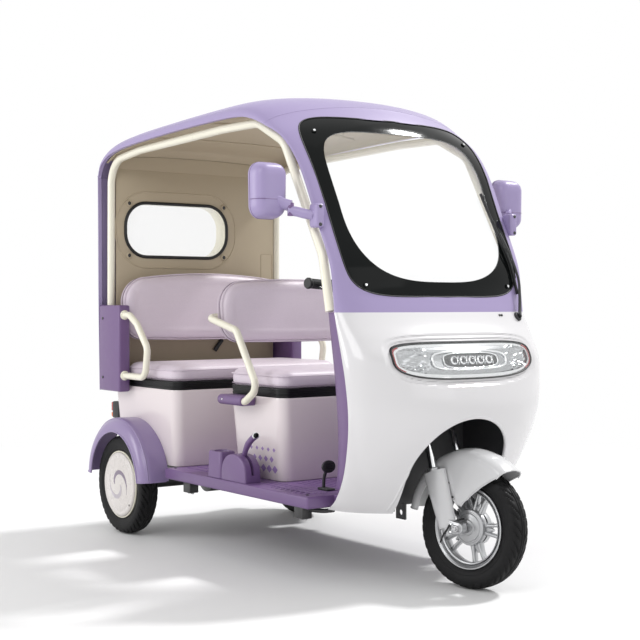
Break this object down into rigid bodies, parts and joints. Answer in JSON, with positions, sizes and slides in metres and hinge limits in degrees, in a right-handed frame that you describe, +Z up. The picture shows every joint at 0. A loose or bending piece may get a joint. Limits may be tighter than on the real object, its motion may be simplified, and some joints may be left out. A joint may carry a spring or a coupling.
{
  "type": "open-sided covered electric passenger tricycle",
  "caption": "Covered electric passenger tricycle, open at the sides, with steered front wheel, lift-up seats over storage boxes and a roofed cab.",
  "frame": {"origin": "on the ground, under the middle of the vehicle's box", "axes": "-Y forward along the vehicle, +X to its left, +Z up"},
  "size_m": [1.232, 2.093, 1.7093],
  "materials": {
    "lavender_panel": "satin",
    "plum_panel": "satin",
    "white_nose": "gloss",
    "blush_box": "gloss",
    "lilac_leather": "satin",
    "beige_liner": "matte",
    "ivory_tube": "gloss",
    "ivory_disc": "gloss",
    "clear_glass": "gloss",
    "black_band": "gloss",
    "black_rubber": "matte",
    "black_steel": "satin",
    "black_plastic": "satin",
    "lamp_chrome": "gloss",
    "lamp_lens": "gloss",
    "tail_red": "gloss",
    "mirror_glass": "gloss",
    "silver_alloy": "satin",
    "chrome": "gloss",
    "tyre": "matte"
  },
  "bodies": {
    "body": {"screen_surround": "lavender_panel", "roof": "lavender_panel", "rear_wall": "lavender_panel", "mirrors": "lavender_panel", "floor": "plum_panel", "inner_fairing": "plum_panel", "rear_posts": "plum_panel", "rail_brackets": "plum_panel", "rear_mudguards": "plum_panel", "console": "plum_panel", "front_shell": "white_nose", "driver_seat_box": "blush_box", "rear_seat_box": "blush_box", "driver_backrest": "lilac_leather", "rear_backrest": "lilac_leather", "roof_liner": "beige_liner", "rear_liner": "beige_liner", "hoops": "ivory_tube", "driver_rails": "ivory_tube", "rear_rails": "ivory_tube", "windscreen": "clear_glass", "rear_window": "clear_glass", "windscreen_band": "black_band", "window_seal": "black_rubber", "frame": "black_steel", "rear_axle": "black_steel", "leaf_springs": "black_steel", "arch_liner": "black_plastic", "wiper": "black_plastic", "brake_lever": "black_plastic", "brake_pedal": "black_plastic", "battery": "black_plastic", "headlamp": "lamp_chrome", "headlamp_lens": "lamp_lens", "tail_lamps": "tail_red", "mirror_glasses": "mirror_glass"},
    "steering": {"fork": "silver_alloy", "stanchions": "chrome", "front_mudguard": "white_nose", "handlebar": "black_steel", "grips": "black_rubber", "front_axle": "black_steel"},
    "front_wheel": {"front_rim": "silver_alloy", "front_tyre": "tyre"},
    "rear_wheel_right": {"rear_rim_right": "ivory_disc", "rear_tyre_right": "tyre"},
    "rear_wheel_left": {"rear_rim_left": "ivory_disc", "rear_tyre_left": "tyre"},
    "driver_lid": {"driver_pan": "black_plastic", "driver_cushion": "lilac_leather"},
    "rear_lid": {"rear_pan": "black_plastic", "rear_cushion": "lilac_leather"}
  },
  "joints": [
    {"name": "steering_turn", "type": "hinge", "parent": "body", "child": "steering", "pos_m": [0, -0.8125, 0.203], "axis": [0, 0.3584, 0.9336], "range_deg": [-45, 25]},
    {"name": "front_wheel_spin", "type": "hinge", "parent": "steering", "child": "front_wheel", "pos_m": [0.00519, -0.84408, 0.20284], "axis": [0.9848, 0.1621, -0.0622], "continuous": true},
    {"name": "rear_wheel_right_spin", "type": "hinge", "parent": "body", "child": "rear_wheel_right", "pos_m": [-0.438, 0.7855, 0.203], "axis": [1, 0, 0], "continuous": true},
    {"name": "rear_wheel_left_spin", "type": "hinge", "parent": "body", "child": "rear_wheel_left", "pos_m": [0.438, 0.7855, 0.203], "axis": [1, 0, 0], "continuous": true},
    {"name": "driver_seat_tip", "type": "hinge", "parent": "body", "child": "driver_lid", "pos_m": [0, 0.2135, 0.6074], "axis": [-1, 0, 0], "range_deg": [0, 48]},
    {"name": "rear_seat_tip", "type": "hinge", "parent": "body", "child": "rear_lid", "pos_m": [0, 0.8785, 0.6074], "axis": [-1, 0, 0], "range_deg": [0, 34]}
  ]
}
